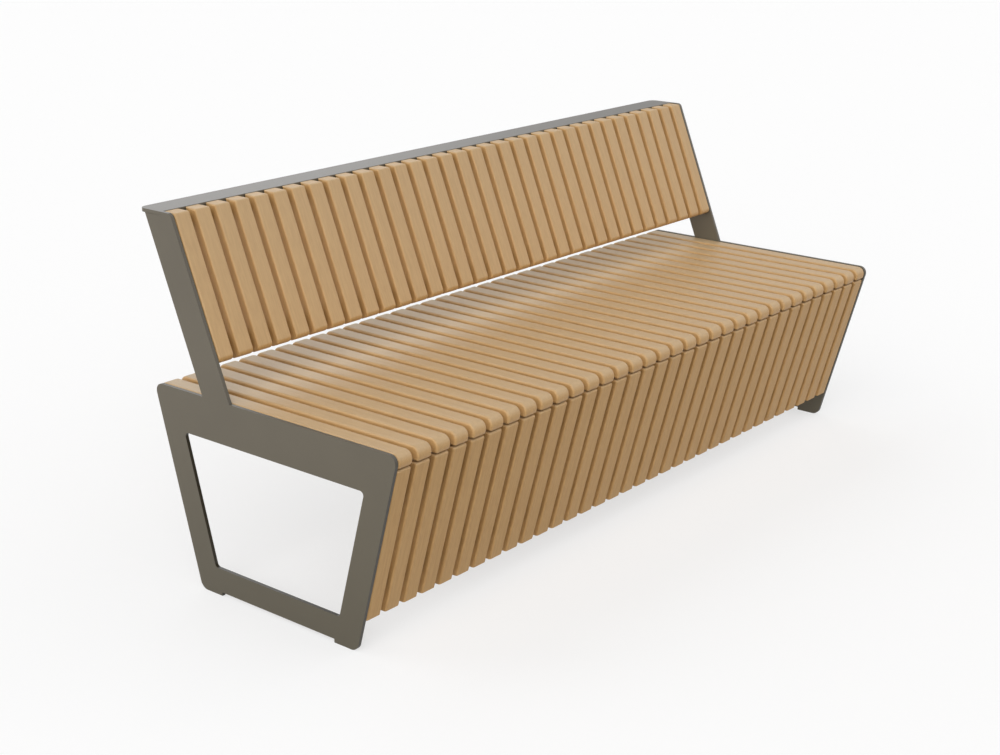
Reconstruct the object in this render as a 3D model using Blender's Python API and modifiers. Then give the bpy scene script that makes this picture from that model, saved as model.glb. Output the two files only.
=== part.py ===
# Outdoor bench: two steel side frames carry seat, skirt and backrest slats of light hardwood.
# Metres, +Z up. The bench stands on z = 0, faces -Y and is symmetric about the plane x = 0.
import math

import bmesh
import bpy
from mathutils import Matrix, Vector

# Side frame: a trapezoid hoop with a window, two foot pads and a backrest arm
seat_height = 0.440
seat_depth = 0.694
frame_lean = math.radians(15.0)
plate_thickness = 0.008
bottom_band = 0.054
foot_rise = 0.008
foot_length = 0.063
seat_corner_radius = 0.018
foot_corner_radius = 0.020
window_corner_radius = 0.009
arm_lean = math.radians(22.0)
arm_width = 0.075
arm_top_inset = 0.004
arm_corner_radius = 0.012

# Slats, the same section in all three rows
slat_count = 34
slat_width = 0.040
slat_spacing = 0.014
slat_thickness = 0.030
slat_corner_radius = 0.0045
slat_end_clearance = 0.002
skirt_joint = 0.0035
skirt_bottom_height = 0.069
skirt_end_radius = 0.002
back_slat_start = 0.0867
back_slat_proud = 0.002
back_nose_radius = 0.011

# Top cap: a strip over both arms, with a flange behind the backrest slats
overall_height = 0.812
cap_thickness = 0.008
cap_overhang = 0.021
cap_corner_radius = 0.018
cap_step = 0.0012
flange_thickness = 0.006
flange_length = 0.030

# Seat beams: folded channels, open below, with a welded end plate
beam_inset = 0.142
beam_width = 0.050
beam_height = 0.045
beam_wall = 0.004
beam_bend_radius = 0.002
beam_end_thickness = 0.005
beam_end_drop = 0.002

# Skirt and backrest rails: flat bars whose ends are bent back as feet
rail_width = 0.040
rail_thickness = 0.008
rail_housing = 0.001
skirt_rail_inset = 0.072
back_rail_inset = 0.032

# Weld studs on the side frames, and the nut on each
stud_diameter = 0.010
stud_tip = 0.002
stud_hole_clearance = 0.0005
nut_bore_clearance = 0.0003
nut_flats = 0.017
nut_height = 0.008
nut_room = 0.0015

# How far the side frames' bands reach past the beams and rail feet that they hide
top_band_margin = 0.0147
side_band_margin = 0.0014

# Gap kept between pieces that touch
touch_gap = 0.0003

# Segments of the round stretches
corner_segments = 7
small_corner_segments = 2
round_sides = 12

# Worked out from the sizes above
slat_pitch = slat_width + slat_spacing
slat_row_length = slat_count * slat_width + (slat_count - 1) * slat_spacing
inner_half = slat_row_length / 2 + slat_end_clearance
half_length = inner_half + plate_thickness
cap_underside = overall_height - cap_thickness
arm_setback = (
    seat_depth
    - arm_top_inset
    - arm_width / math.cos(arm_lean)
    - (cap_underside - seat_height) * math.tan(arm_lean)
)
back_slat_top = overall_height - cap_step
stud_radius = stud_diameter / 2
nut_reach = nut_flats / math.sqrt(3)


def front_line(z):
    """Depth of the leaning front plane at a height."""
    return (seat_height - z) * math.tan(frame_lean)


def rear_line(z):
    """Depth of the leaning rear plane at a height."""
    return seat_depth - (seat_height - z) * math.tan(frame_lean)


def arm_front_line(z):
    """Depth of the arm's front edge at a height."""
    return arm_setback + (z - seat_height) * math.tan(arm_lean)


def arm_back_line(z):
    """Depth of the arm's back edge at a height."""
    return arm_front_line(z) + arm_width / math.cos(arm_lean)


def skirt_point(inward, rise):
    """Depth and height of a point given across and along the leaning front plane."""
    return (
        inward * math.cos(frame_lean) - rise * math.sin(frame_lean),
        seat_height + inward * math.sin(frame_lean) + rise * math.cos(frame_lean),
    )


def back_point(inward, rise):
    """Depth and height of a point given across and along the arm's front edge."""
    return (
        arm_setback + inward * math.cos(arm_lean) + rise * math.sin(arm_lean),
        seat_height - inward * math.sin(arm_lean) + rise * math.cos(arm_lean),
    )


def back_rise(inward, z):
    """How far up the arm's front edge a height lies, for a point that far behind it."""
    return (z - seat_height + inward * math.sin(arm_lean)) / math.cos(arm_lean)


# A rail's foot and a beam's end plate leave room for the nut beside the bar
rail_front = slat_thickness - rail_housing
rail_stud_inward = rail_front + rail_thickness + nut_room + nut_reach
rail_foot_reach = rail_thickness + 2 * (nut_room + nut_reach)
beam_stud_offset = beam_width / 2 + nut_room + nut_reach
beam_end_half_width = beam_stud_offset + nut_reach + nut_room
side_band = rail_front + rail_foot_reach + side_band_margin
top_band = slat_thickness + touch_gap + beam_height + beam_end_drop + top_band_margin

# The backrest slats' faces, measured across the arm's front edge
back_slat_front = -back_slat_proud
back_slat_rear = back_slat_front + slat_thickness
slat_top_rear = back_point(back_slat_rear, back_rise(back_slat_rear, back_slat_top))
cap_front = slat_top_rear[0] + touch_gap
cap_back = arm_back_line(cap_underside) + cap_overhang

# Depths are shifted so that the origin is the middle of the bench's box
nose_setback = seat_corner_radius * (math.tan(frame_lean) + 1 / math.cos(frame_lean) - 1)
depth_shift = -(nose_setback + max(cap_back, seat_depth - nose_setback)) / 2


def clear_scene():
    for old in list(bpy.data.objects):
        bpy.data.objects.remove(old, do_unlink=True)


def new_collection(name):
    collection = bpy.data.collections.new(name)
    bpy.context.scene.collection.children.link(collection)
    return collection


def make_material(name, colour, roughness, metallic):
    material = bpy.data.materials.new(name)
    material.use_nodes = True
    shader = material.node_tree.nodes["Principled BSDF"]
    shader.inputs["Base Color"].default_value = (*colour, 1.0)
    shader.inputs["Roughness"].default_value = roughness
    shader.inputs["Metallic"].default_value = metallic
    material.diffuse_color = (*colour, 1.0)
    return material


def add_object(name, mesh, material, collection):
    piece = bpy.data.objects.new(name, mesh)
    if not mesh.materials:
        mesh.materials.append(material)
    collection.objects.link(piece)
    return piece


def add_cutter(name, mesh):
    guide = bpy.data.objects.new(name, mesh)
    cutters.objects.link(guide)
    guide.hide_render = True
    guide.display_type = "WIRE"
    return guide


def combine(piece, name, guide, operation):
    modifier = piece.modifiers.new(name, "BOOLEAN")
    modifier.operation = operation
    modifier.solver = "EXACT"
    modifier.object = guide


def rounded_outline(corners):
    """Points of a closed outline, from (across, up, radius, segments) corners, rounded by arcs."""
    count = len(corners)
    places = [Vector(corner[:2]) for corner in corners]
    reach = []
    for index, corner in enumerate(corners):
        before = (places[index - 1] - places[index]).normalized()
        after = (places[(index + 1) % count] - places[index]).normalized()
        half_angle = before.angle(after) / 2
        reach.append(corner[2] / math.tan(half_angle))
    # A fillet may not run into the next one
    share = [1.0] * count
    for index in range(count):
        following = (index + 1) % count
        both = reach[index] + reach[following]
        room = 0.96 * (places[following] - places[index]).length
        if both > room:
            share[index] = min(share[index], room / both)
            share[following] = min(share[following], room / both)
    points = []
    for index, corner in enumerate(corners):
        radius = corner[2] * share[index]
        if radius <= 0:
            points.append(places[index])
            continue
        before = (places[index - 1] - places[index]).normalized()
        after = (places[(index + 1) % count] - places[index]).normalized()
        half_angle = before.angle(after) / 2
        start = places[index] + before * (radius / math.tan(half_angle))
        end = places[index] + after * (radius / math.tan(half_angle))
        centre = places[index] + (before + after).normalized() * (radius / math.sin(half_angle))
        turn = (start - centre).angle_signed(end - centre)
        for step in range(corner[3] + 1):
            spoke = start - centre
            spoke.rotate(Matrix.Rotation(-turn * step / corner[3], 2))
            points.append(centre + spoke)
    return points


def solid_from_outlines(outlines, thickness, matrix):
    """A flat plate as a mesh: the outlines are filled, holes included, and given a thickness."""
    curve = bpy.data.curves.new("outline", "CURVE")
    curve.dimensions = "2D"
    curve.fill_mode = "BOTH"
    curve.extrude = thickness / 2
    for outline in outlines:
        spline = curve.splines.new("POLY")
        spline.points.add(len(outline) - 1)
        for point, place in zip(spline.points, outline):
            point.co = (place[0], place[1], 0.0, 1.0)
        spline.use_cyclic_u = True
    flat = bpy.data.objects.new("outline", curve)
    bpy.context.scene.collection.objects.link(flat)
    bpy.context.view_layer.update()
    evaluated = flat.evaluated_get(bpy.context.evaluated_depsgraph_get())
    mesh = bpy.data.meshes.new_from_object(evaluated)
    bpy.data.objects.remove(flat, do_unlink=True)
    bpy.data.curves.remove(curve)
    shape = bmesh.new()
    shape.from_mesh(mesh)
    bmesh.ops.remove_doubles(shape, verts=shape.verts, dist=0.00001)
    bmesh.ops.dissolve_limit(
        shape, angle_limit=math.radians(0.5), verts=shape.verts, edges=shape.edges
    )
    bmesh.ops.recalc_face_normals(shape, faces=shape.faces)
    shape.transform(matrix)
    shape.to_mesh(mesh)
    shape.free()
    return mesh


def side_view(x_centre):
    """Places an outline of depth and height so that its thickness runs along X."""
    turn = Matrix(((0, 0, 1, 0), (1, 0, 0, 0), (0, 1, 0, 0), (0, 0, 0, 1)))
    return Matrix.Translation((x_centre, depth_shift, 0)) @ turn


def leaning_view(lean, corner_depth, inward, rise):
    """Places an outline of length and depth so that its thickness runs up a leaning plane."""
    corner = Matrix.Translation((0, corner_depth + depth_shift, seat_height))
    return corner @ Matrix.Rotation(lean, 4, "X") @ Matrix.Translation((0, inward, rise))


def box_mesh(name, size, matrix):
    shape = bmesh.new()
    bmesh.ops.create_cube(shape, size=1.0)
    shape.transform(matrix @ Matrix.Diagonal((*size, 1.0)))
    mesh = bpy.data.meshes.new(name)
    shape.to_mesh(mesh)
    shape.free()
    return mesh


def rods_mesh(name, radius, spans):
    """Round rods along X, one for each (x_start, x_end, depth, height)."""
    shape = bmesh.new()
    for x_start, x_end, depth, height in spans:
        middle = Vector(((x_start + x_end) / 2, depth + depth_shift, height))
        turn = Matrix.Translation(middle) @ Matrix.Rotation(math.radians(90), 4, "Y")
        bmesh.ops.create_cone(
            shape, cap_ends=True, segments=round_sides, radius1=radius, radius2=radius,
            depth=abs(x_end - x_start), matrix=turn,
        )
    mesh = bpy.data.meshes.new(name)
    shape.to_mesh(mesh)
    shape.free()
    return mesh


# Where the cross members lie
skirt_top_rise = -(slat_thickness + skirt_joint) / math.cos(frame_lean)
skirt_bottom_rise = -(seat_height - skirt_bottom_height) / math.cos(frame_lean)
skirt_rail_rises = {
    "upper": skirt_top_rise - skirt_rail_inset,
    "lower": skirt_bottom_rise + skirt_rail_inset,
}
back_rail_rise = back_slat_start + back_rail_inset
beam_top = seat_height - slat_thickness - touch_gap
beam_depths = {
    "front": beam_inset,
    "middle": seat_depth / 2,
    "rear": seat_depth - beam_inset,
}

# Each stud's depth and height, and the thickness of what it holds
studs = {}
for place, depth in beam_depths.items():
    for number, offset in enumerate((-beam_stud_offset, beam_stud_offset), start=1):
        studs[f"seat_beam_{place}_{number}"] = (
            depth + offset,
            beam_top - (beam_height + beam_end_drop) / 2,
            beam_end_thickness,
        )
for place, rise in skirt_rail_rises.items():
    studs["skirt_rail_" + place] = (*skirt_point(rail_stud_inward, rise), rail_thickness)
studs["back_rail"] = (
    *back_point(rail_stud_inward + back_slat_front, back_rail_rise),
    rail_thickness,
)


def make_side_frame(side, sign):
    lower_front = front_line(0)
    lower_rear = rear_line(0)
    outer = rounded_outline([
        (lower_front, 0, foot_corner_radius, corner_segments),
        (lower_front + foot_length, 0, 0, 0),
        (lower_front + foot_length, foot_rise, 0, 0),
        (lower_rear - foot_length, foot_rise, 0, 0),
        (lower_rear - foot_length, 0, 0, 0),
        (lower_rear, 0, foot_corner_radius, corner_segments),
        (seat_depth, seat_height, seat_corner_radius, corner_segments),
        (arm_back_line(seat_height), seat_height, 0, 0),
        (arm_back_line(cap_underside), cap_underside - touch_gap, 0, 0),
        (cap_front - touch_gap, cap_underside - touch_gap, 0, 0),
        (cap_front - touch_gap, overall_height, 0, 0),
        (arm_front_line(overall_height), overall_height, arm_corner_radius, corner_segments),
        (arm_front_line(seat_height), seat_height, 0, 0),
        (0, seat_height, seat_corner_radius, corner_segments),
    ])
    window_top = seat_height - top_band
    window_bottom = foot_rise + bottom_band
    band = side_band / math.cos(frame_lean)
    window = rounded_outline([
        (front_line(window_bottom) + band, window_bottom, window_corner_radius, corner_segments),
        (rear_line(window_bottom) - band, window_bottom, window_corner_radius, corner_segments),
        (rear_line(window_top) - band, window_top, window_corner_radius, corner_segments),
        (front_line(window_top) + band, window_top, window_corner_radius, corner_segments),
    ])
    x_centre = sign * (half_length - plate_thickness / 2)
    mesh = solid_from_outlines([outer, window], plate_thickness, side_view(x_centre))
    frame = add_object("side_frame_" + side, mesh, powder_coat, bench)
    rods = []
    for depth, height, grip in studs.values():
        tip = inner_half - 2 * touch_gap - grip - nut_height - stud_tip
        rods.append((sign * tip, x_centre, depth, height))
    guide = add_cutter("studs_" + side, rods_mesh("studs_" + side, stud_radius, rods))
    combine(frame, "weld studs", guide, "UNION")
    return frame


def make_top_cap():
    plan = rounded_outline([
        (-half_length, cap_front, 0, 0),
        (half_length, cap_front, 0, 0),
        (half_length, cap_back, cap_corner_radius, corner_segments),
        (-half_length, cap_back, cap_corner_radius, corner_segments),
    ])
    lift = Matrix.Translation((0, depth_shift, overall_height - cap_thickness / 2))
    cap = add_object("top_cap", solid_from_outlines([plan], cap_thickness, lift), powder_coat, bench)
    flange_inward = back_slat_rear + touch_gap + flange_thickness / 2
    flange_top = back_rise(flange_inward, overall_height - cap_thickness / 2)
    flange_bottom = back_rise(flange_inward, cap_underside) - flange_length
    size = (2 * (inner_half - touch_gap), flange_thickness, flange_top - flange_bottom)
    place = leaning_view(-arm_lean, arm_setback, flange_inward, (flange_top + flange_bottom) / 2)
    combine(cap, "flange", add_cutter("cap_flange", box_mesh("cap_flange", size, place)), "UNION")
    return cap


def seat_slat_mesh():
    under = seat_height - slat_thickness
    outline = rounded_outline([
        (front_line(under), under, slat_corner_radius, small_corner_segments),
        (rear_line(under), under, slat_corner_radius, small_corner_segments),
        (seat_depth, seat_height, seat_corner_radius, corner_segments),
        (0, seat_height, seat_corner_radius, corner_segments),
    ])
    mesh = solid_from_outlines([outline], slat_width, side_view(0))
    return mesh


def skirt_slat_mesh():
    corners = []
    for inward, z, radius in (
        (0, skirt_bottom_height, skirt_end_radius),
        (slat_thickness, skirt_bottom_height, skirt_end_radius),
        (slat_thickness, seat_height - slat_thickness - skirt_joint, slat_corner_radius),
        (0, seat_height - slat_thickness - skirt_joint, slat_corner_radius),
    ):
        depth = front_line(z) + inward / math.cos(frame_lean)
        corners.append((depth, z, radius, small_corner_segments))
    mesh = solid_from_outlines([rounded_outline(corners)], slat_width, side_view(0))
    return mesh


def back_slat_mesh():
    outline = rounded_outline([
        (*back_point(back_slat_front, back_slat_start), back_nose_radius, corner_segments),
        (*back_point(back_slat_rear, back_slat_start), slat_corner_radius, small_corner_segments),
        (*slat_top_rear, slat_corner_radius, small_corner_segments),
        (
            *back_point(back_slat_front, back_rise(back_slat_front, back_slat_top)),
            slat_corner_radius,
            small_corner_segments,
        ),
    ])
    mesh = solid_from_outlines([outline], slat_width, side_view(0))
    return mesh


def rail_mesh(lean, corner_depth, inward, rise):
    """A flat bar with its two ends bent back, each as a foot that lies on a side frame."""
    reach = inner_half - touch_gap
    outline = [
        (-reach, 0),
        (reach, 0),
        (reach, rail_foot_reach),
        (reach - rail_thickness, rail_foot_reach),
        (reach - rail_thickness, rail_thickness),
        (-reach + rail_thickness, rail_thickness),
        (-reach + rail_thickness, rail_foot_reach),
        (-reach, rail_foot_reach),
    ]
    return solid_from_outlines(
        [outline], rail_width, leaning_view(lean, corner_depth, inward, rise)
    )


def stud_holes(member):
    """Cutter for the holes that a member has around its studs."""
    spans = []
    for name, (depth, height, grip) in studs.items():
        if name.startswith(member):
            for sign in (-1, 1):
                spans.append((sign * (inner_half - 2 * grip), sign * inner_half, depth, height))
    name = member + "_holes"
    return add_cutter(name, rods_mesh(name, stud_radius + stud_hole_clearance, spans))


def make_slat_row(name, mesh, rails, holes):
    """A row of slats joined by its rails; the first slat is arrayed along X."""
    mesh.transform(Matrix.Translation((-slat_row_length / 2 + slat_width / 2, 0, 0)))
    panel = add_object(name, mesh, oak, bench)
    row = panel.modifiers.new("row", "ARRAY")
    row.use_relative_offset = False
    row.use_constant_offset = True
    row.constant_offset_displace = (slat_pitch, 0, 0)
    row.count = slat_count
    for place, rail in rails.items():
        combine(panel, place, add_cutter(name + "_" + place, rail), "UNION")
    combine(panel, "stud holes", holes, "DIFFERENCE")
    return panel


def make_seat_slats():
    mesh = seat_slat_mesh()
    for index in range(slat_count):
        slat = add_object(f"seat_slat_{index + 1:02d}", mesh, oak, bench)
        slat.location.x = -slat_row_length / 2 + slat_width / 2 + index * slat_pitch


def make_seat_beam(place, depth):
    half = beam_width / 2
    under = beam_top - beam_height
    inner_bend = (beam_bend_radius, small_corner_segments)
    outer_bend = (beam_bend_radius + beam_wall, small_corner_segments)
    section = rounded_outline([
        (depth - half, under, 0, 0),
        (depth - half + beam_wall, under, 0, 0),
        (depth - half + beam_wall, beam_top - beam_wall, *inner_bend),
        (depth + half - beam_wall, beam_top - beam_wall, *inner_bend),
        (depth + half - beam_wall, under, 0, 0),
        (depth + half, under, 0, 0),
        (depth + half, beam_top, *outer_bend),
        (depth - half, beam_top, *outer_bend),
    ])
    end_centre = inner_half - touch_gap - beam_end_thickness / 2
    name = "seat_beam_" + place
    mesh = solid_from_outlines([section], 2 * end_centre, side_view(0))
    beam = add_object(name, mesh, powder_coat, bench)
    size = (beam_end_thickness, 2 * beam_end_half_width, beam_height)
    for side, sign in (("left", -1), ("right", 1)):
        end_height = beam_top - beam_end_drop - beam_height / 2
        centre = Matrix.Translation((sign * end_centre, depth + depth_shift, end_height))
        end_name = name + "_end_" + side
        combine(beam, "end " + side, add_cutter(end_name, box_mesh(end_name, size, centre)), "UNION")
    combine(beam, "stud holes", stud_holes(name), "DIFFERENCE")
    return beam


def ring_outline(radius, sides):
    return [
        (radius * math.cos(math.tau * step / sides), radius * math.sin(math.tau * step / sides))
        for step in range(sides)
    ]


def make_nuts():
    hexagon = ring_outline(nut_reach, 6)
    bore = ring_outline(stud_radius + nut_bore_clearance, round_sides)
    turn = Matrix.Rotation(math.radians(90), 4, "Y")
    mesh = solid_from_outlines([hexagon, bore], nut_height, turn)
    for name, (depth, height, grip) in studs.items():
        for side, sign in (("left", -1), ("right", 1)):
            nut = add_object(name + "_nut_" + side, mesh, stainless, bench)
            face = inner_half - 2 * touch_gap - grip
            nut.location = (sign * (face - nut_height / 2), depth + depth_shift, height)


clear_scene()
bench = new_collection("outdoor_bench")
cutters = new_collection("cutters")
oak = make_material("oak", (0.52, 0.35, 0.19), 0.5, 0.0)
powder_coat = make_material("powder_coat", (0.15, 0.135, 0.115), 0.5, 0.0)
stainless = make_material("stainless", (0.56, 0.56, 0.55), 0.35, 1.0)

for frame_side, frame_sign in (("left", -1), ("right", 1)):
    make_side_frame(frame_side, frame_sign)
make_top_cap()
make_seat_slats()
make_slat_row(
    "skirt_panel",
    skirt_slat_mesh(),
    {
        "rail_" + place: rail_mesh(frame_lean, 0, rail_front, rise)
        for place, rise in skirt_rail_rises.items()
    },
    stud_holes("skirt_rail"),
)
make_slat_row(
    "backrest_panel",
    back_slat_mesh(),
    {"rail_lower": rail_mesh(-arm_lean, arm_setback, rail_front + back_slat_front, back_rail_rise)},
    stud_holes("back_rail"),
)
for beam_place, beam_depth in beam_depths.items():
    make_seat_beam(beam_place, beam_depth)
make_nuts()
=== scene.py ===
# Outdoor bench: light hardwood slats on two steel side frames, in a plain pale studio
import math
import random

import bmesh
import bpy
from mathutils import Matrix, Vector


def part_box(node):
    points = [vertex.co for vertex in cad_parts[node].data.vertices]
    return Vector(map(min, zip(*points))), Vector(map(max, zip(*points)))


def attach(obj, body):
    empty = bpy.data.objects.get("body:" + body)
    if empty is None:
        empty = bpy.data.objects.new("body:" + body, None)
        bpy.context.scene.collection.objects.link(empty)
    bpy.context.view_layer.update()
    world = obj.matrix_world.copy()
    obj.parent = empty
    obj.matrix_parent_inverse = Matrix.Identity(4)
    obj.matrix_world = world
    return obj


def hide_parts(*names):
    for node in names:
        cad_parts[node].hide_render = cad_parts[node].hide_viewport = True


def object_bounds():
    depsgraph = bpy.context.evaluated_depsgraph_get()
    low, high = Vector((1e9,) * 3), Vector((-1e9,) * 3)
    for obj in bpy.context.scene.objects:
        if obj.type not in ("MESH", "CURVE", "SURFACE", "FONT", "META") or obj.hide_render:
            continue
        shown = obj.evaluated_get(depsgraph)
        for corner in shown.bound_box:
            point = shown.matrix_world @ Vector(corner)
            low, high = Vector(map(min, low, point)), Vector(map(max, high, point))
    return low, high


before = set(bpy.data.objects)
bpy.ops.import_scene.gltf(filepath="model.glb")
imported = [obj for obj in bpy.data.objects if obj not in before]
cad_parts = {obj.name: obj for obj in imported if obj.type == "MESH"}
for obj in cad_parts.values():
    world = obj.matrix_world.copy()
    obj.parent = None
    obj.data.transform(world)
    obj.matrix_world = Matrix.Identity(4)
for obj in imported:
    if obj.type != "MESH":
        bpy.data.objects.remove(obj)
cadLow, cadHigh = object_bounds()
print("frame loaded,", len(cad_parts), "nodes")

# The bench in metres; what the frame's boxes give is read from them
benchShape = {
    "frameLean": math.radians(15),  # both ends of a side frame lean in towards the ground
    "armLean": math.radians(22),  # the backrest leans back
    "noseRadius": 0.018,  # front and rear corners of the seat
    "plate": 0.008,
    "touchGap": 0.0003,  # between pieces that touch
}
frameLean, armLean = benchShape["frameLean"], benchShape["armLean"]
plateThick, touchGap = benchShape["plate"], benchShape["touchGap"]
frameTan = math.tan(frameLean)
armTan = math.tan(armLean)
noseSetback = benchShape["noseRadius"] * (frameTan + 1 / math.cos(frameLean) - 1)

seatLow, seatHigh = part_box("seat_slat_01")
skirtLow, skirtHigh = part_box("skirt_panel")
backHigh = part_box("backrest_panel")[1]
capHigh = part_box("top_cap")[1]
seatTop = seatHigh.z
seatUnder = seatLow.z
slatThick = seatTop - seatUnder
slatWidth = seatHigh.x - seatLow.x
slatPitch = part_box("seat_slat_02")[0].x - seatLow.x
slatCount = sum(1 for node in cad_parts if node.startswith("seat_slat_"))
slatCentres = [seatLow.x + slatWidth / 2 + number * slatPitch for number in range(slatCount)]
frontCorner = seatLow.y - noseSetback  # where the leaning front meets the seat's top
rearCorner = seatHigh.y + noseSetback
plateInner = cadHigh.x - plateThick
capUnder = capHigh.z - plateThick

# Square to the skirt and to the backrest, into the bench and out behind it
skirtInward = Vector((0, math.cos(frameLean), math.sin(frameLean)))
backInward = Vector((0, math.cos(armLean), -math.sin(armLean)))

bench = bpy.data.collections.new("bench")
bpy.context.scene.collection.children.link(bench)


def frontLine(z):
    return frontCorner + (seatTop - z) * frameTan


def rearLine(z):
    return rearCorner - (seatTop - z) * frameTan


# Node helpers; most of a noise's values lie within its usual spread
usualSpread = (0.3, 0.7)
wideSpread = (0.25, 0.75)


def addSockets(group, inOut, sockets):
    kinds = {"place": "NodeSocketVector", "colour": "NodeSocketColor", "value": "NodeSocketFloat"}
    for name, kind in sockets.items():
        group.interface.new_socket(name=name, in_out=inOut, socket_type=kinds[kind])


def addNode(tree, kind, **values):
    node = tree.nodes.new(kind)
    for key, value in values.items():
        setattr(node, key, value)
    return node


def mathNode(tree, operation, *values):
    node = addNode(tree, "ShaderNodeMath", operation=operation)
    for socket, value in zip(node.inputs, values):
        if isinstance(value, (int, float)):
            socket.default_value = value
        else:
            tree.links.new(value, socket)
    return node.outputs[0]


def stretched(tree, place, scale):
    node = addNode(tree, "ShaderNodeVectorMath", operation="MULTIPLY")
    tree.links.new(place, node.inputs[0])
    node.inputs[1].default_value = scale
    return node.outputs[0]


def splitNode(tree, vector):
    node = addNode(tree, "ShaderNodeSeparateXYZ")
    tree.links.new(vector, node.inputs[0])
    return node.outputs


def noiseNode(tree, place, scale, detail=2.0, roughness=0.5, output="Fac"):
    node = addNode(tree, "ShaderNodeTexNoise")
    tree.links.new(place, node.inputs["Vector"])
    node.inputs["Scale"].default_value = scale
    node.inputs["Detail"].default_value = detail
    node.inputs["Roughness"].default_value = roughness
    return node.outputs[output]


def rangeNode(tree, value, low, high, newLow, newHigh):
    node = addNode(tree, "ShaderNodeMapRange", clamp=True)
    tree.links.new(value, node.inputs["Value"])
    for name, number in (("From Min", low), ("From Max", high), ("To Min", newLow), ("To Max", newHigh)):
        node.inputs[name].default_value = number
    return node.outputs["Result"]


def mixColour(tree, factor, first, second, blend="MIX"):
    node = addNode(tree, "ShaderNodeMix", data_type="RGBA", blend_type=blend)
    for name, value in (("Factor", factor), ("A", first), ("B", second)):
        socket = next(each for each in node.inputs if each.name == name and each.enabled)
        if isinstance(value, tuple):
            socket.default_value = (*value, 1.0)
        else:
            tree.links.new(value, socket)
    return next(each for each in node.outputs if each.enabled)


def newMaterial(name):
    material = bpy.data.materials.new(name)
    material.use_nodes = True
    return material, material.node_tree, material.node_tree.nodes["Principled BSDF"]


def bumpInto(tree, shader, height, distance, strength):
    bump = addNode(tree, "ShaderNodeBump")
    bump.inputs["Distance"].default_value = distance
    bump.inputs["Strength"].default_value = strength
    tree.links.new(height, bump.inputs["Height"])
    tree.links.new(bump.outputs["Normal"], shader.inputs["Normal"])


# Oiled wood, gone a little silver where it faces up: partly weathering, partly a painted sheen
woodLook = {
    "light": (0.552, 0.333, 0.132),
    "dark": (0.436, 0.247, 0.087),
    "silverAndSheenColour": (0.52, 0.47, 0.350),
    "silverAndSheen": 0.27,  # how far the tops of the slats go silver, partly weathering and partly a painted sheen
    "backSheenAmount": 0.18,  # painted sheen: how much further the back of the seat is made pale, standing in for reflected light and lifting the shade under the backrest
    "backSheen": (0.03, 0.22),  # where that starts and is full, along Y
    "backSheenPolish": (0.5, 1.0),  # only on boards that are sat on
    "ringWidth": 0.0042,
    "lateBand": (0.35, 0.93),  # the late part of a year's ring
    "wander": (1.6, 9.0, 9.0),  # the pith wanders this often to a metre, along and across
    "bow": (0.0, 0.022, 0.022),  # and this far
    "middle": 0.42,  # darkness between the light and the dark colour, and what adds to it
    "ring": 0.16,
    "pore": 0.14,
    "pores": (55.0, 1500.0, 1500.0),
    "poreEdge": (0.62, 0.74),
    "poreDepth": 0.8,
    # stretch along and across, detail, roughness, spread, and how much lighter and darker
    "patterns": {
        "fibres": ((5.0, 520.0, 520.0), 3.0, 0.6, wideSpread, 0.15),
        "flecks": ((34.0, 240.0, 240.0), 1.0, 0.5, usualSpread, 0.20),
        "streaks": ((1.3, 110.0, 110.0), 2.0, 0.5, usualSpread, 0.06),
        "clouds": ((2.2, 14.0, 14.0), 1.0, 0.5, usualSpread, 0.07),
    },
    "rough": (0.52, 0.42),  # as sawn, and worn smooth
    "fibreRough": 0.04,
    "bump": 0.00012,
    "bumpStrength": 0.6,
}


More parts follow.
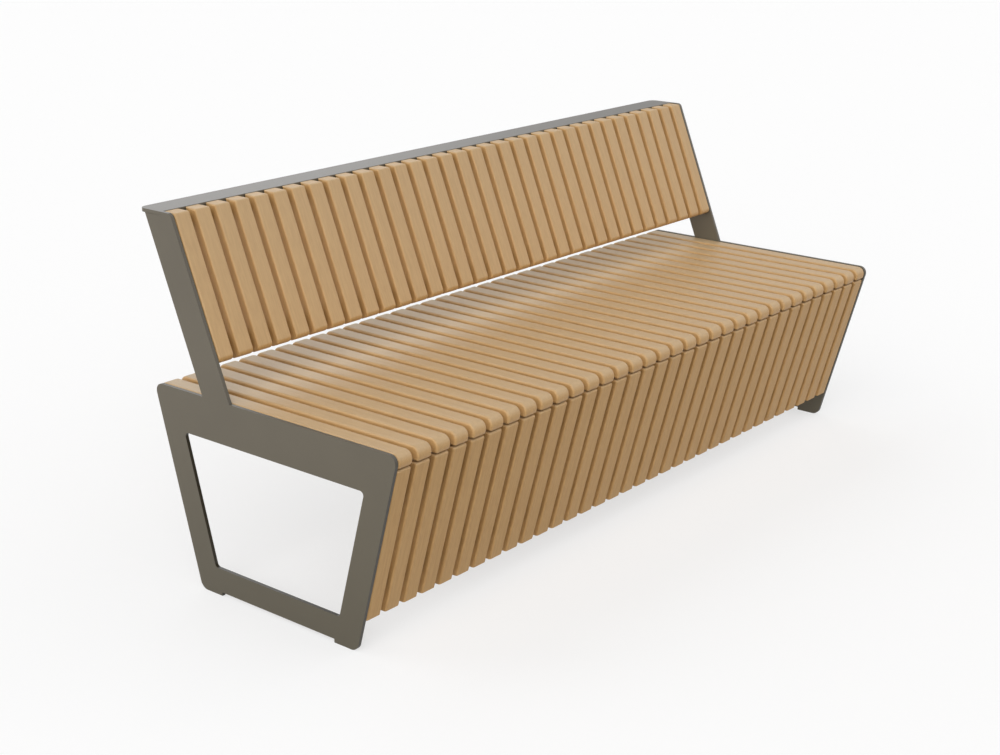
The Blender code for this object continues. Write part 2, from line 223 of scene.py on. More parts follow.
def makeBoardGrain():
    # Solid wood: rings round a pith outside the board, long fibres, and short pores
    group = bpy.data.node_groups.new("boardGrain", "ShaderNodeTree")
    addSockets(group, "INPUT", {"Place": "place", "Tone": "value", "Silver And Sheen": "value", "Polish": "value",
                                "Light Wood": "colour", "Dark Wood": "colour", "Silver And Sheen Wood": "colour",
                                "Ring Width": "value"})
    addSockets(group, "OUTPUT", {"Colour": "colour", "Roughness": "value", "Height": "value"})
    entry = addNode(group, "NodeGroupInput")
    leave = addNode(group, "NodeGroupOutput")
    place = entry.outputs["Place"]

    # The pith wanders along the board, so the rings bow and run out
    wander = noiseNode(group, stretched(group, place, woodLook["wander"]), 1.0, output="Color")
    centred = addNode(group, "ShaderNodeVectorMath", operation="SUBTRACT")
    group.links.new(wander, centred.inputs[0])
    centred.inputs[1].default_value = (0.5, 0.5, 0.5)
    bowed = addNode(group, "ShaderNodeVectorMath", operation="MULTIPLY_ADD")
    group.links.new(centred.outputs[0], bowed.inputs[0])
    bowed.inputs[1].default_value = woodLook["bow"]
    group.links.new(place, bowed.inputs[2])
    crossOnly = stretched(group, bowed.outputs[0], (0.0, 1.0, 1.0))
    reach = addNode(group, "ShaderNodeVectorMath", operation="LENGTH")
    group.links.new(crossOnly, reach.inputs[0])
    turns = mathNode(group, "DIVIDE", reach.outputs["Value"], entry.outputs["Ring Width"])
    season = mathNode(group, "FRACT", turns)
    # Spring wood darkens slowly into a late band, then starts light again
    start, end = woodLook["lateBand"]
    lateBand = rangeNode(group, season, start, end, 0.0, 1.0)
    fresh = rangeNode(group, season, end, 1.0, 1.0, 0.0)
    ring = mathNode(group, "MULTIPLY", lateBand, fresh)

    # How dark each place is, from 0 to 1
    dark = mathNode(group, "MULTIPLY_ADD", ring, woodLook["ring"], woodLook["middle"])
    made = {}
    for name, (stretch, detail, roughness, spread, gain) in woodLook["patterns"].items():
        made[name] = noiseNode(group, stretched(group, place, stretch), 1.0, detail, roughness)
        dark = mathNode(group, "ADD", dark, rangeNode(group, made[name], *spread, -gain, gain))
    pores = noiseNode(group, stretched(group, place, woodLook["pores"]), 1.0, 1.0)
    poreMask = rangeNode(group, pores, *woodLook["poreEdge"], 0.0, 1.0)
    dark = mathNode(group, "MULTIPLY_ADD", poreMask, woodLook["pore"], dark)
    dark = mathNode(group, "ADD", dark, entry.outputs["Tone"])
    shade = mixColour(group, dark, entry.outputs["Light Wood"], entry.outputs["Dark Wood"])
    # Open faces are made silver, partly by sun and rain and partly as a painted sheen; the back of the
    # seat gets a painted reflection too
    shade = mixColour(group, entry.outputs["Silver And Sheen"], shade, entry.outputs["Silver And Sheen Wood"])
    group.links.new(shade, leave.inputs["Colour"])

    # Where people sit the wood is worn smooth
    fuzz = woodLook["fibreRough"]
    matt = rangeNode(group, entry.outputs["Polish"], 0.0, 1.0, *woodLook["rough"])
    rough = mathNode(group, "ADD", matt, rangeNode(group, made["fibres"], *wideSpread, -fuzz, fuzz))
    group.links.new(rough, leave.inputs["Roughness"])
    sunk = mathNode(group, "MULTIPLY", poreMask, woodLook["poreDepth"])
    group.links.new(mathNode(group, "SUBTRACT", made["fibres"], sunk), leave.inputs["Height"])
    return group


def makeOak(grain):
    material, tree, shader = newMaterial("oiledOak")
    place = addNode(tree, "ShaderNodeAttribute", attribute_name="grainPlace")
    wearAndPaintedLight = addNode(tree, "ShaderNodeAttribute", attribute_name="boardWearAndPaintedLight")
    tone, sky, polish = splitNode(tree, wearAndPaintedLight.outputs["Vector"])
    board = addNode(tree, "ShaderNodeGroup", node_tree=grain)
    tree.links.new(place.outputs["Vector"], board.inputs["Place"])
    tree.links.new(tone, board.inputs["Tone"])
    tree.links.new(polish, board.inputs["Polish"])
    # Painted sheen: the seat is made paler towards its back, a painted reflection that also lifts the
    # shade under the backrest
    spot = addNode(tree, "ShaderNodeTexCoord")
    depth = splitNode(tree, spot.outputs["Object"])["Y"]
    backSheen = rangeNode(tree, depth, *woodLook["backSheen"], 0.0, woodLook["backSheenAmount"])
    sat = rangeNode(tree, polish, *woodLook["backSheenPolish"], 0.0, 1.0)
    backSheen = mathNode(tree, "MULTIPLY", backSheen, sat)
    silverAndSheen = mathNode(tree, "MULTIPLY_ADD", sky, woodLook["silverAndSheen"], backSheen)
    tree.links.new(silverAndSheen, board.inputs["Silver And Sheen"])
    board.inputs["Light Wood"].default_value = (*woodLook["light"], 1.0)
    board.inputs["Dark Wood"].default_value = (*woodLook["dark"], 1.0)
    board.inputs["Silver And Sheen Wood"].default_value = (*woodLook["silverAndSheenColour"], 1.0)
    board.inputs["Ring Width"].default_value = woodLook["ringWidth"]
    tree.links.new(board.outputs["Colour"], shader.inputs["Base Color"])
    tree.links.new(board.outputs["Roughness"], shader.inputs["Roughness"])
    bumpInto(tree, shader, board.outputs["Height"], woodLook["bump"], woodLook["bumpStrength"])
    return material


# Powder coat: taupe grey, satin
coatLook = {
    "colour": (0.121, 0.103, 0.0725),
    "dimples": 900.0,  # the noises' scales, to a metre
    "clouds": 7.0,
    "specks": 2600.0,
    "cloudGain": (0.96, 1.04),
    "speckGain": (0.94, 1.06),
    "groundShade": (1.0, 0.985, 0.86),  # brown tint of the painted shade near the ground
    "groundShadeGain": 0.68,  # how dark it makes the coat at the ground
    "groundShadeTop": 0.50,  # and how high it reaches
    "edgeShade": (0.62, 0.28),  # painted shade: how much darker a cut edge is made, below the seat and above it
    "edgeShadeFade": (-0.03, 0.02),  # where that changes, from the seat's top
    "capSheenColour": (0.130, 0.135, 0.150),
    "capSheen": 0.4,
    "capSheenDepth": (0.0008, 0.0002),  # it fades out over this depth under the cap's top
    "rough": (0.35, 0.42),
    "bump": 0.00004,
    "bumpStrength": 0.5,
}


def makePeel():
    # The skin of a sprayed and baked coat: soft dimples, and a faint cloudiness
    group = bpy.data.node_groups.new("coatPeel", "ShaderNodeTree")
    addSockets(group, "INPUT", {"Place": "place", "Base": "colour", "Cut Edge": "value"})
    addSockets(group, "OUTPUT", {"Colour": "colour", "Roughness": "value", "Height": "value"})
    entry = addNode(group, "NodeGroupInput")
    leave = addNode(group, "NodeGroupOutput")
    place = entry.outputs["Place"]
    height = splitNode(group, place)["Z"]
    clouds = noiseNode(group, place, coatLook["clouds"])
    specks = noiseNode(group, place, coatLook["specks"], 1.0)
    dimples = noiseNode(group, place, coatLook["dimples"])
    lift = rangeNode(group, clouds, *usualSpread, *coatLook["cloudGain"])
    grit = rangeNode(group, specks, *usualSpread, *coatLook["speckGain"])
    gain = mathNode(group, "MULTIPLY", lift, grit)
    # Painted shade: the coat is made darker towards the ground
    groundDarkening = rangeNode(group, height, 0.0, coatLook["groundShadeTop"], coatLook["groundShadeGain"], 1.0)
    gain = mathNode(group, "MULTIPLY", gain, groundDarkening)
    # Painted shade: cut edges are made darker, most of all below the seat
    fade = [seatTop + change for change in coatLook["edgeShadeFade"]]
    edgeShadeAmount = rangeNode(group, height, *fade, *coatLook["edgeShade"])
    edgeShadeAmount = mathNode(group, "MULTIPLY", entry.outputs["Cut Edge"], edgeShadeAmount)
    gain = mathNode(group, "MULTIPLY", gain, mathNode(group, "SUBTRACT", 1.0, edgeShadeAmount))
    scaled = addNode(group, "ShaderNodeVectorMath", operation="SCALE")
    group.links.new(entry.outputs["Base"], scaled.inputs[0])
    group.links.new(gain, scaled.inputs["Scale"])
    # The painted shade near the ground is browner, and the top of the cap gets a painted reflection
    groundShade = rangeNode(group, height, 0.0, coatLook["groundShadeTop"], 1.0, 0.0)
    colour = mixColour(group, groundShade, scaled.outputs[0], coatLook["groundShade"], "MULTIPLY")
    # Painted reflection: the top of the cap is made paler and bluer
    depths = [capHigh.z - depth for depth in coatLook["capSheenDepth"]]
    capSheen = rangeNode(group, height, *depths, 0.0, coatLook["capSheen"])
    colour = mixColour(group, capSheen, colour, coatLook["capSheenColour"])
    group.links.new(colour, leave.inputs["Colour"])
    rough = rangeNode(group, dimples, *usualSpread, *coatLook["rough"])
    group.links.new(rough, leave.inputs["Roughness"])
    group.links.new(dimples, leave.inputs["Height"])
    return group


def makeCoat(peel):
    material, tree, shader = newMaterial("powderCoat")
    place = addNode(tree, "ShaderNodeTexCoord")
    skin = addNode(tree, "ShaderNodeGroup", node_tree=peel)
    tree.links.new(place.outputs["Object"], skin.inputs["Place"])
    skin.inputs["Base"].default_value = (*coatLook["colour"], 1.0)
    edge = addNode(tree, "ShaderNodeAttribute", attribute_name="cutEdge")
    tree.links.new(edge.outputs["Fac"], skin.inputs["Cut Edge"])
    tree.links.new(skin.outputs["Colour"], shader.inputs["Base Color"])
    tree.links.new(skin.outputs["Roughness"], shader.inputs["Roughness"])
    bumpInto(tree, shader, skin.outputs["Height"], coatLook["bump"], coatLook["bumpStrength"])
    return material


stainlessLook = {
    "colour": (0.58, 0.575, 0.56),
    "brush": (300.0, 1600.0, 1600.0),
    "rough": (0.22, 0.38),
}


def makeStainless(peel):
    material, tree, shader = newMaterial("stainlessSteel")
    shader.inputs["Metallic"].default_value = 1.0
    place = addNode(tree, "ShaderNodeTexCoord").outputs["Object"]
    skin = addNode(tree, "ShaderNodeGroup", node_tree=peel)
    tree.links.new(place, skin.inputs["Place"])
    skin.inputs["Base"].default_value = (*stainlessLook["colour"], 1.0)
    tree.links.new(skin.outputs["Colour"], shader.inputs["Base Color"])
    brushed = noiseNode(tree, stretched(tree, place, stainlessLook["brush"]), 1.0)
    rough = rangeNode(tree, brushed, *usualSpread, *stainlessLook["rough"])
    tree.links.new(rough, shader.inputs["Roughness"])
    return material


coatPeel = makePeel()
finishes = {  # by the record's material slot
    "oak": makeOak(makeBoardGrain()),
    "powder_coat": makeCoat(coatPeel),
    "stainless": makeStainless(coatPeel),
}
print("materials made")


# Modelling steps that several pieces share
cornerReach = 1.025  # the bevel's curve bulges past an arc at a blunt corner, so it reaches further
sharp = (0, 0)  # a corner without radius and steps
sharpAngle = math.radians(42)
flatEnough = 0.99
mergeDistance = 0.00001
cutDistance = 0.000001


def roundCorner(bm, corner, radius, steps):
    arms = [edge.other_vert(corner).co - corner.co for edge in corner.link_edges]
    reach = cornerReach * radius / math.tan(arms[0].angle(arms[1]) / 2)
    bmesh.ops.bevel(bm, geom=[corner], offset=reach, offset_type="OFFSET", segments=steps,
                    profile=0.5, affect="VERTICES", material=-1)


def sheetSolid(outlines, thickness, place, rim=0.0, rimSteps=2, sawn=-1.0):
    # outlines: an outer one and its holes, each a list of (across, up, radius, steps)
    bm = bmesh.new()
    for corners in outlines:
        spots = [bm.verts.new((corner[0], corner[1], -thickness / 2)) for corner in corners]
        bm.faces.new(spots)
        for spot, corner in zip(spots, corners):
            if corner[2] > 0:
                roundCorner(bm, spot, corner[2], corner[3])
    if len(outlines) > 1:
        bmesh.ops.delete(bm, geom=bm.faces[:], context="FACES_ONLY")
        bmesh.ops.triangle_fill(bm, edges=bm.edges[:], use_beauty=True)
    grown = bmesh.ops.extrude_face_region(bm, geom=bm.faces[:])
    lifted = [part for part in grown["geom"] if isinstance(part, bmesh.types.BMVert)]
    bmesh.ops.translate(bm, verts=lifted, vec=(0, 0, thickness))
    bmesh.ops.recalc_face_normals(bm, faces=bm.faces[:])
    if rim > 0:
        softenRims(bm, rim, rimSteps, sawn)
    bmesh.ops.transform(bm, matrix=place, verts=bm.verts[:])
    return bm


def softenRims(bm, width, steps, sawn):
    # Rims lie between the two flat sides and what runs between them; those below sawn stay sharp
    rims = []
    for edge in bm.edges:
        flat = [abs(face.normal.z) > flatEnough for face in edge.link_faces]
        if sorted(flat) == [False, True] and max(vert.co.y for vert in edge.verts) > sawn:
            rims.append(edge)
    bmesh.ops.bevel(bm, geom=rims, offset=width, offset_type="OFFSET", segments=steps,
                    profile=0.5, affect="EDGES", material=-1, clamp_overlap=True)


def sideView(x):
    # An outline of depth and height, with its thickness along X
    turn = Matrix(((0, 0, 1, 0), (1, 0, 0, 0), (0, 1, 0, 0), (0, 0, 0, 1)))
    return Matrix.Translation((x, 0, 0)) @ turn


def leanPoint(corner, lean, inward, rise):
    # inward is square to a leaning plane that passes through the corner, and rise runs up it
    y = corner + inward * math.cos(lean) + rise * math.sin(lean)
    z = seatTop - inward * math.sin(lean) + rise * math.cos(lean)
    return y, z


def finishPiece(bm, name, slot, node):
    bmesh.ops.recalc_face_normals(bm, faces=bm.faces[:])
    mesh = bpy.data.meshes.new(name)
    bm.to_mesh(mesh)
    bm.free()
    mesh.shade_smooth()
    mesh.set_sharp_from_angle(angle=sharpAngle)
    mesh.materials.append(finishes[slot])
    piece = bpy.data.objects.new(name, mesh)
    bench.objects.link(piece)
    even = piece.modifiers.new("even shading", "WEIGHTED_NORMAL")
    even.keep_sharp = True
    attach(piece, "root")
    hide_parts(node)
    return piece


# Slats: three rows with the same section; each board is cut from its own part of a tree
slatLook = {
    "edge": 0.0055,  # rounding of the long edges
    "edgeSteps": 3,
    "noseSteps": 9,
    "smallRadius": 0.0045,
    "smallSteps": 3,
    "sawnMargin": 0.0001,
    # how smooth each row is worn, and the painted gap shade on its boards' sides, which is painted light
    # below 0
    "seat": {"polish": 1.0, "sides": -0.4},
    "skirt": {"polish": 0.0, "sides": 0.35},
    "back": {"polish": 0.4, "sides": -0.1},
    "skySlope": 1.6,  # how soon a face that turns up goes silver
    "toneSpread": 0.05,
    "trunk": 6,  # where a board's place in its tree may lie: along, aside and away from the pith
    "pithSide": 0.05,
    "pithDepth": (0.035, 0.11),
    "seed": 11,
}
boardDraw = random.Random(slatLook["seed"])


def paintGrain(mesh, row, middle, along, deep):
    # Where each point lies in its own tree: along the trunk, and across from the pith
    pith = Vector((boardDraw.uniform(0, slatLook["trunk"]),
                   boardDraw.uniform(-slatLook["pithSide"], slatLook["pithSide"]),
                   boardDraw.choice((-1, 1)) * boardDraw.uniform(*slatLook["pithDepth"])))
    across = Vector((1, 0, 0))
    grain = mesh.attributes.new("grainPlace", "FLOAT_VECTOR", "POINT")
    for vertex, value in zip(mesh.vertices, grain.data):
        arm = vertex.co - middle
        value.vector = Vector((arm.dot(along), arm.dot(across), arm.dot(deep))) + pith
    spread = slatLook["toneSpread"]
    tone = boardDraw.uniform(-spread, spread)
    # Painted gap shade: the sides of the boards, seen in the gaps, are made darker or lighter than their
    # faces
    polish, sides = slatLook[row]["polish"], slatLook[row]["sides"]
    # Faces that look up go silver, partly weathering and partly a painted sheen; the sides get painted
    # gap shade, and faces that look down get neither
    wearAndPaintedLight = mesh.attributes.new("boardWearAndPaintedLight", "FLOAT_VECTOR", "POINT")
    for vertex, value in zip(mesh.vertices, wearAndPaintedLight.data):
        openness = 1 - vertex.normal.x ** 2
        sky = min(max(slatLook["skySlope"] * vertex.normal.z, 0), 1)
        value.vector = (tone + sides * (1 - openness) ** 2, openness * sky, polish * openness)


def makeSlats(row, node, corners, along, deep, sawn=-1.0):
    # node names the solid that the row stands for; the seat's slats have one each
    for number, x in enumerate(slatCentres, start=1):
        bm = sheetSolid([corners], slatWidth, sideView(x), slatLook["edge"], slatLook["edgeSteps"], sawn)
        slat = finishPiece(bm, f"{row}_board_{number:02d}", "oak", node.format(number))
        paintGrain(slat.data, row, Vector((x, *corners[0][:2])), along, deep)


def smallCorner(y, z):
    return (y, z, slatLook["smallRadius"], slatLook["smallSteps"])


def makeSeatSlats():
    nose = (benchShape["noseRadius"], slatLook["noseSteps"])
    corners = [smallCorner(frontLine(seatUnder), seatUnder), smallCorner(rearLine(seatUnder), seatUnder),
               (rearCorner, seatTop, *nose), (frontCorner, seatTop, *nose)]
    makeSlats("seat", "seat_slat_{:02d}", corners, Vector((0, 1, 0)), Vector((0, 0, -1)))


def makeSkirtSlats():
    # Sawn square at the lower ends
    depth = slatThick / math.cos(frameLean)
    lower, upper = frontLine(skirtLow.z), frontLine(skirtHigh.z)
    corners = [(lower, skirtLow.z, *sharp), (lower + depth, skirtLow.z, *sharp),
               smallCorner(upper + depth, skirtHigh.z), smallCorner(upper, skirtHigh.z)]
    along = Vector((0, -math.sin(frameLean), math.cos(frameLean)))
    makeSlats("skirt", "skirt_panel", corners, along, skirtInward, skirtLow.z + slatLook["sawnMargin"])


backrest = {
    "armSetback": 0.46204,  # sharp front corner of the seat to the arm's front edge
    "proud": 0.002,
    "start": 0.0867,  # lower end of the slats, up the lean from the seat
    "noseRadius": 0.011,
}
armFoot = frontCorner + backrest["armSetback"]
backSlatFront = -backrest["proud"]
backSlatRear = backSlatFront + slatThick


def armPoint(inward, rise):
    return leanPoint(armFoot, armLean, inward, rise)


def armRise(inward, z):
    return (z - seatTop + inward * math.sin(armLean)) / math.cos(armLean)


def makeBackSlats():
    # The upper rear edges are square, to meet the cap
    nose = (backrest["noseRadius"], slatLook["noseSteps"])
    corners = [(*armPoint(backSlatFront, backrest["start"]), *nose),
               smallCorner(*armPoint(backSlatRear, backrest["start"])),
               (*armPoint(backSlatRear, armRise(backSlatRear, backHigh.z)), *sharp),
               smallCorner(*armPoint(backSlatFront, armRise(backSlatFront, backHigh.z)))]
    along = Vector((0, math.sin(armLean), math.cos(armLean)))
    makeSlats("back", "backrest_panel", corners, along, backInward)


makeSeatSlats()
makeSkirtSlats()
makeBackSlats()
print("slats made,", 3 * slatCount)


# Side frames: one plate each, with a window, two foot pads and the backrest arm
sideFrame = {
    "bandSide": 0.06103,
    "bandTop": 0.092,
    "bandBottom": 0.054,
    "footRise": 0.008,
    "footLength": 0.063,
    "footRadius": 0.020,
    "windowRadius": 0.009,
    "armWidth": 0.075,
    "armRadius": 0.012,
    "cornerSteps": 10,
    "rim": 0.0009,
    "rimSteps": 3,
}
# The cap's strip starts right behind the slats
capStripFront = armPoint(backSlatRear, armRise(backSlatRear, backHigh.z))[0] + touchGap


def makeSideFrame(side, sign):
    steps = sideFrame["cornerSteps"]
    foot, rise = sideFrame["footLength"], sideFrame["footRise"]
    nose, footRound = (benchShape["noseRadius"], steps), (sideFrame["footRadius"], steps)
    armDepth = sideFrame["armWidth"] / math.cos(armLean)
    armTopY = armFoot + (capHigh.z - seatTop) * armTan
    armUnderY = armFoot + (capUnder - seatTop) * armTan + armDepth
    outer = [(frontLine(0), 0, *footRound), (frontLine(0) + foot, 0, *sharp),
             (frontLine(0) + foot, rise, *sharp), (rearLine(0) - foot, rise, *sharp),
             (rearLine(0) - foot, 0, *sharp), (rearLine(0), 0, *footRound),
             (rearCorner, seatTop, *nose), (armFoot + armDepth, seatTop, *sharp),
             (armUnderY, capUnder, *sharp), (capStripFront, capUnder, *sharp),
             (capStripFront, capHigh.z, *sharp), (armTopY, capHigh.z, sideFrame["armRadius"], steps),
             (armFoot, seatTop, *sharp), (frontCorner, seatTop, *nose)]
    top, bottom = seatTop - sideFrame["bandTop"], rise + sideFrame["bandBottom"]
    band = sideFrame["bandSide"] / math.cos(frameLean)
    window = [(frontLine(bottom) + band, bottom), (rearLine(bottom) - band, bottom),
              (rearLine(top) - band, top), (frontLine(top) + band, top)]
    window = [(*spot, sideFrame["windowRadius"], steps) for spot in window]
    place = sideView(sign * (cadHigh.x - plateThick / 2))
    bm = sheetSolid([outer, window], plateThick, place, sideFrame["rim"], sideFrame["rimSteps"])
    piece = finishPiece(bm, "plate_frame_" + side, "powder_coat", "side_frame_" + side)
    edge = piece.data.attributes.new("cutEdge", "FLOAT", "FACE")
    for face, value in zip(piece.data.polygons, edge.data):
        value.value = 1 - abs(face.normal.x)


# Top cap: a strip with rounded rear corners, and a flange behind the slats
topCap = {
    "cornerRadius": 0.018,
    "cornerSteps": 8,
    "rim": 0.0008,
    "rimSteps": 3,
    "flange": 0.006,
    "flangeLength": 0.030,
    "flangeRim": 0.0006,
}
flangeFront = backSlatRear + touchGap
flangeBack = flangeFront + topCap["flange"]


def makeTopCap():
    corner = (topCap["cornerRadius"], topCap["cornerSteps"])
    plan = [(cadLow.x, capStripFront, *sharp), (cadHigh.x, capStripFront, *sharp),
            (cadHigh.x, capHigh.y, *corner), (cadLow.x, capHigh.y, *corner)]
    lift = Matrix.Translation((0, 0, capHigh.z - plateThick / 2))
    bm = sheetSolid([plan], plateThick, lift, topCap["rim"], topCap["rimSteps"])
    finishPiece(bm, "cap_strip", "powder_coat", "top_cap")
    low = armRise(flangeFront, capUnder) - topCap["flangeLength"]
    section = [(*armPoint(flangeFront, low), *sharp), (*armPoint(flangeBack, low), *sharp),
               (*armPoint(flangeBack, armRise(flangeBack, capUnder)), *sharp),
               (*armPoint(flangeFront, armRise(flangeFront, capUnder)), *sharp)]
    bm = sheetSolid([section], 2 * (plateInner - touchGap), sideView(0), topCap["flangeRim"])
    finishPiece(bm, "cap_flange", "powder_coat", "top_cap")


makeSideFrame("left", -1)
makeSideFrame("right", 1)
makeTopCap()
print("side frames and cap made")


# Studs welded to the side frames, a nut on each, and the wood screws that hold the slats
fastening = {
    "studRadius": 0.005,
    "studTip": 0.002,
    "studSteps": 20,
    "threadPitch": 0.0015,
    "threadDepth": 0.0006,
    "threads": 3,
    "boreRadius": 0.0053,
    "boreSteps": 16,
    "chamferLean": math.radians(60),
    "chamferSteps": 24,
    "chamferStart": 0.97,  # share of the way from the middle to the flats
    "headRadius": 0.0045,
    "headRise": 0.0024,
    "headSteps": 10,
    # a pan head with its driver's recess, as shares of the radius and the rise
    "headShape": ((0, 0), (1, 0), (1, 0.4), (0.7, 1), (0.4, 1), (0.35, 0.35), (0, 0.35)),
}


def turned(bm, profile, steps):
    # profile: (radius, along Z), closed at both ends on the axis
    spots = [bm.verts.new((radius, 0, along)) for radius, along in profile]
    edges = [bm.edges.new(pair) for pair in zip(spots, spots[1:])]
    bmesh.ops.spin(bm, geom=spots + edges, cent=(0, 0, 0), axis=(0, 0, 1), dvec=(0, 0, 0),
                   angle=math.tau, steps=steps, use_merge=True, use_duplicate=False)
    bmesh.ops.remove_doubles(bm, verts=bm.verts[:], dist=mergeDistance)


def ringOutline(radius, count):
    turns = [math.tau * number / count for number in range(count)]
    return [(radius * math.sin(turn), radius * math.cos(turn), *sharp) for turn in turns]


def nodeCentre(node):
    low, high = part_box(node)
    return (low + high) / 2


def makeStud(nut):
    side = nut.rsplit("_", 1)[1]
    quarter = math.radians(-90 if side == "left" else 90)
    middle = nodeCentre(nut)
    low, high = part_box(nut)
    tip = min(abs(low.x), abs(high.x)) - fastening["studTip"]
    radius, depth, pitch = (fastening[key] for key in ("studRadius", "threadDepth", "threadPitch"))
    profile = [(0, tip), (radius - depth, tip)]
    for turn in range(fastening["threads"]):
        profile += [(radius, tip + (turn + 0.5) * pitch), (radius - depth, tip + (turn + 1) * pitch)]
    profile.append((radius, tip + (fastening["threads"] + 0.5) * pitch))
    profile += [(radius, plateInner), (0, plateInner)]
    bm = bmesh.new()
    turned(bm, profile, fastening["studSteps"])
    spot = Matrix.Translation((0, middle.y, middle.z)) @ Matrix.Rotation(quarter, 4, "Y")
    bmesh.ops.transform(bm, matrix=spot, verts=bm.verts[:])
    finishPiece(bm, nut.replace("_nut_", "_stud_"), "stainless", "side_frame_" + side)


def makeNut(nut):
    low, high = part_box(nut)
    height = high.x - low.x
    reach = max(high.y - low.y, high.z - low.z) / 2
    bore = ringOutline(fastening["boreRadius"], fastening["boreSteps"])
    bm = sheetSolid([ringOutline(reach, 6), bore], height, Matrix.Identity(4))
    # Both ends are turned down to a circle, which takes the hexagon's corners off
    start = fastening["chamferStart"] * reach * math.cos(math.radians(30))
    lean, steps = fastening["chamferLean"], fastening["chamferSteps"]
    for end in (-1, 1):
        for step in range(steps):
            bearing = math.tau * (step + 0.5) / steps
            ahead = Vector((math.cos(bearing), math.sin(bearing), 0))
            spot = start * ahead + Vector((0, 0, end * height / 2))
            normal = math.cos(lean) * ahead + Vector((0, 0, end * math.sin(lean)))
            cut = bmesh.ops.bisect_plane(bm, geom=bm.verts[:] + bm.edges[:] + bm.faces[:],
                                         dist=cutDistance, plane_co=spot, plane_no=normal,
                                         clear_outer=True)
            rim = [part for part in cut["geom_cut"] if isinstance(part, bmesh.types.BMEdge)]
            bmesh.ops.holes_fill(bm, edges=[edge for edge in rim if edge.is_boundary])
    place = Matrix.Translation(nodeCentre(nut)) @ sideView(0)
    bmesh.ops.transform(bm, matrix=place, verts=bm.verts[:])
    finishPiece(bm, nut.replace("_nut_", "_hexnut_"), "stainless", nut)


def makeScrews(name, node, spot, outward):
    # A row of heads, one to a slat; spot is the depth and height where they lie on the steel
    radius, rise = fastening["headRadius"], fastening["headRise"]
    head = bmesh.new()
    profile = [(radius * out, rise * up) for out, up in fastening["headShape"]]
    turned(head, profile, fastening["headSteps"])
    pattern = bpy.data.meshes.new("screwHead")
    head.to_mesh(pattern)
    head.free()
    turn = outward.to_track_quat("Z", "Y").to_matrix().to_4x4()
    bm = bmesh.new()
    for x in slatCentres:
        first = len(bm.verts)
        bm.from_mesh(pattern)
        place = Matrix.Translation((x, *spot)) @ turn
        bmesh.ops.transform(bm, matrix=place, verts=bm.verts[:][first:])
    bpy.data.meshes.remove(pattern)
    finishPiece(bm, name, "stainless", node)


# Steelwork under and behind the slats: folded seat beams, and flat rails with bent ends
steelwork = {
    "beamWidth": 0.050,
    "beamHeight": 0.045,
    "beamWall": 0.004,
    "beamBend": 0.002,  # inner radius of the folds
    "endPlate": 0.005,
    "endDrop": 0.002,
    "endCorner": 0.003,
    "railWidth": 0.040,
    "railThick": 0.008,
    "railFoot": 0.0306,
    "railBend": 0.004,
    "railHousing": 0.001,
    "skirtRailInset": 0.072,
    "backRailInset": 0.032,
    "rim": 0.0006,
    "bendSteps": 5,
}
railReach = plateInner - touchGap
railFront = slatThick - steelwork["railHousing"]
railBack = railFront + steelwork["railThick"]


def skirtPoint(inward, rise):
    return leanPoint(frontCorner, -frameLean, inward, rise)


def skirtRise(z):
    return (z - seatTop) / math.cos(frameLean)


def makeBeam(place):
    node = "seat_beam_" + place
    low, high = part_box(node)
    middle, top = nodeCentre(node).y, high.z
    half, wall, steps = steelwork["beamWidth"] / 2, steelwork["beamWall"], steelwork["bendSteps"]
    under = top - steelwork["beamHeight"]
    inner, outer = (steelwork["beamBend"], steps), (steelwork["beamBend"] + wall, steps)
    section = [(middle - half, under, *sharp), (middle - half + wall, under, *sharp),
               (middle - half + wall, top - wall, *inner), (middle + half - wall, top - wall, *inner),
               (middle + half - wall, under, *sharp), (middle + half, under, *sharp),
               (middle + half, top, *outer), (middle - half, top, *outer)]
    end = steelwork["endPlate"]
    bm = sheetSolid([section], 2 * (railReach - end), sideView(0))
    finishPiece(bm, f"beam_{place}_channel", "powder_coat", node)
    corner = (steelwork["endCorner"], steps)
    endTop = top - steelwork["endDrop"]
    plate = [(low.y, low.z, *corner), (high.y, low.z, *corner),
             (high.y, endTop, *corner), (low.y, endTop, *corner)]
    for side, sign in (("left", -1), ("right", 1)):
        bm = sheetSolid([plate], end, sideView(sign * (railReach - end / 2)), steelwork["rim"])
        finishPiece(bm, f"beam_{place}_end_{side}", "powder_coat", node)
    makeScrews(f"beam_{place}_screws", node, (middle, top - wall), Vector((0, 0, -1)))


def leaningPlace(point, inward, rise):
    # Turns a drawing of length and depth onto a leaning plane, with its thickness up the plane
    start, back, up = (Vector((0, *point(*spot))) for spot in
                       ((inward, rise), (inward + 1, rise), (inward, rise + 1)))
    turn = Matrix((Vector((1, 0, 0)), back - start, up - start)).transposed().to_4x4()
    return Matrix.Translation(start) @ turn


def makeRail(name, node, point, front, rise):
    thick, foot, steps = steelwork["railThick"], steelwork["railFoot"], steelwork["bendSteps"]
    inner, outer = (steelwork["railBend"], steps), (steelwork["railBend"] + thick, steps)
    outline = [(-railReach, 0, *outer), (railReach, 0, *outer), (railReach, foot, *sharp),
               (railReach - thick, foot, *sharp), (railReach - thick, thick, *inner),
               (thick - railReach, thick, *inner), (thick - railReach, foot, *sharp),
               (-railReach, foot, *sharp)]
    place = leaningPlace(point, front, rise)
    bm = sheetSolid([outline], steelwork["railWidth"], place, steelwork["rim"])
    finishPiece(bm, name, "powder_coat", node)


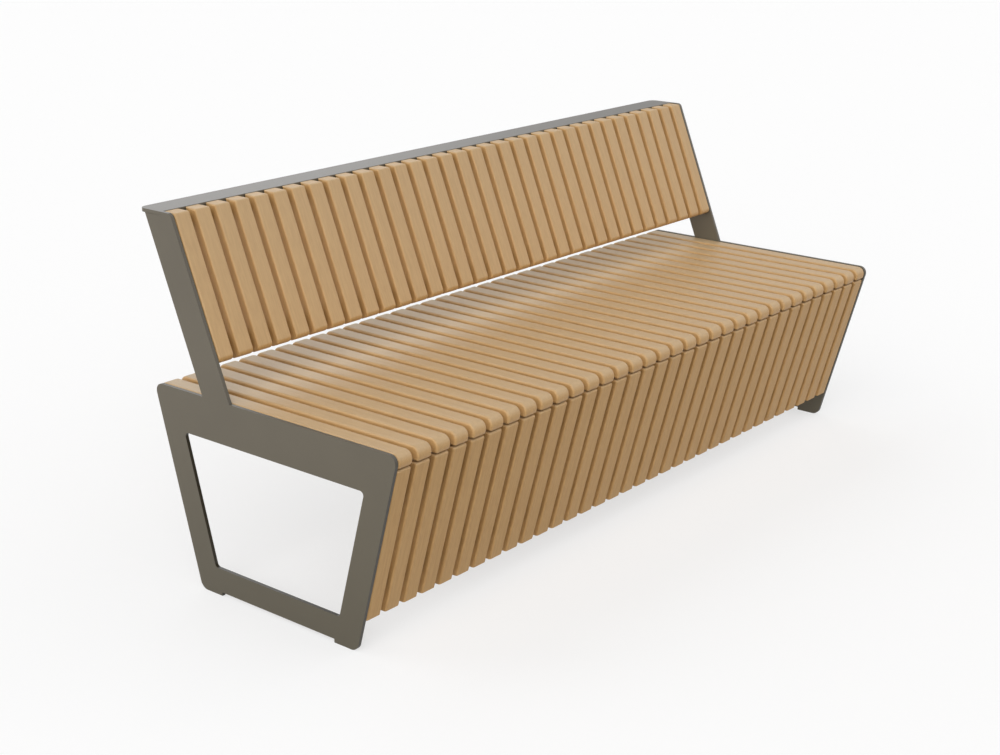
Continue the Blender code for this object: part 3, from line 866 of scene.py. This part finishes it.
def makeRails():
    inset = steelwork["skirtRailInset"]
    rises = {"upper": skirtRise(skirtHigh.z) - inset, "lower": skirtRise(skirtLow.z) + inset}
    for place, rise in rises.items():
        makeRail(f"skirt_{place}_bar", "skirt_panel", skirtPoint, railFront, rise)
        makeScrews(f"skirt_{place}_screws", "skirt_panel", skirtPoint(railBack, rise), skirtInward)
    proud = backrest["proud"]
    rise = backrest["start"] + steelwork["backRailInset"]
    makeRail("back_lower_bar", "backrest_panel", armPoint, railFront - proud, rise)
    makeScrews("back_lower_screws", "backrest_panel", armPoint(railBack - proud, rise), backInward)
    rise = armRise(flangeBack, capUnder) - topCap["flangeLength"] / 2
    makeScrews("cap_flange_screws", "top_cap", armPoint(flangeBack, rise), backInward)


for place in ("front", "middle", "rear"):
    makeBeam(place)
makeRails()
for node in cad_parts:
    if "_nut_" in node:
        makeStud(node)
        makeNut(node)
print("steelwork and fastenings made")


# Studio: a pale floor, soft light from above, and the camera
studio = {
    "floorSize": 60.0,
    "floorColour": (0.40, 0.40, 0.40),
    "floorRoughness": 0.9,
    "floorGlow": 0.585,  # what the camera and reflections see on top, so the floor shows white
    "world": 0.17,
    "worldInGloss": 0.6,
    # a ring of soft suns: how far round from the front towards the left, how high, how strong, how wide
    "suns": [(62, 34, 1.35, 60), (30, 18, 0.62, 60), (90, 20, 0.62, 60), (135, 25, 0.38, 60),
             (-176, 26, 1.42, 90), (-90, 25, 0.22, 60), (-45, 32, 0.92, 90)],
}
photoCamera = {
    "place": (-3.04390, -2.34620, 1.55520),
    "yaw": math.radians(50.6206),
    "pitch": math.radians(18.2690),
    "roll": math.radians(-0.1930),
    "lens": 60.333,
    "sensor": 36.0,
}


def seenStrength(tree, plain, reflected, direct):
    # One strength for plain light, one for what a reflection or glass shows, one for the camera
    path = addNode(tree, "ShaderNodeLightPath")
    glossy = mathNode(tree, "MAXIMUM", path.outputs["Is Glossy Ray"], path.outputs["Is Transmission Ray"])
    strength = rangeNode(tree, glossy, 0.0, 1.0, plain, reflected)
    camera = rangeNode(tree, path.outputs["Is Camera Ray"], 0.0, 1.0, 0.0, direct)
    return mathNode(tree, "MAXIMUM", strength, camera)


def makeFloor():
    bm = bmesh.new()
    bmesh.ops.create_grid(bm, x_segments=1, y_segments=1, size=studio["floorSize"] / 2)
    mesh = bpy.data.meshes.new("floor")
    bm.to_mesh(mesh)
    bm.free()
    material, tree, shader = newMaterial("paleFloor")
    shader.inputs["Base Color"].default_value = (*studio["floorColour"], 1.0)
    shader.inputs["Roughness"].default_value = studio["floorRoughness"]
    shader.inputs["Specular IOR Level"].default_value = 0.0
    shader.inputs["Emission Color"].default_value = (1.0, 1.0, 1.0, 1.0)
    glow = seenStrength(tree, 0.0, studio["floorGlow"], studio["floorGlow"])
    tree.links.new(glow, shader.inputs["Emission Strength"])
    mesh.materials.append(material)
    floor = bpy.data.objects.new("floor", mesh)
    bpy.context.scene.collection.objects.link(floor)


def makeWorld():
    world = bpy.data.worlds.new("studioWorld")
    world.use_nodes = True
    bpy.context.scene.world = world
    tree = world.node_tree
    background = tree.nodes["Background"]
    background.inputs["Color"].default_value = (1.0, 1.0, 1.0, 1.0)
    strength = seenStrength(tree, studio["world"], studio["worldInGloss"], 1.0)
    tree.links.new(strength, background.inputs["Strength"])


def makeSun(name, bearing, height, strength, width):
    lamp = bpy.data.lights.new(name, "SUN")
    lamp.energy = strength
    lamp.angle = math.radians(width)
    holder = bpy.data.objects.new(name, lamp)
    holder.rotation_euler = (math.radians(90 - height), 0, math.radians(-bearing))
    bpy.context.scene.collection.objects.link(holder)


def makeCamera():
    lens = bpy.data.cameras.new("photoCamera")
    lens.lens = photoCamera["lens"]
    lens.sensor_width = photoCamera["sensor"]
    camera = bpy.data.objects.new("photoCamera", lens)
    turn = Matrix.Rotation(-photoCamera["yaw"], 4, "Z")
    tilt = Matrix.Rotation(math.radians(90) - photoCamera["pitch"], 4, "X")
    roll = Matrix.Rotation(-photoCamera["roll"], 4, "Z")
    camera.matrix_world = Matrix.Translation(photoCamera["place"]) @ turn @ tilt @ roll
    bpy.context.scene.collection.objects.link(camera)
    bpy.context.scene.camera = camera


makeFloor()
makeWorld()
for number, sunLook in enumerate(studio["suns"], start=1):
    makeSun(f"softSun{number}", *sunLook)
makeCamera()
bpy.context.scene.view_settings.view_transform = "Standard"
print("studio made")
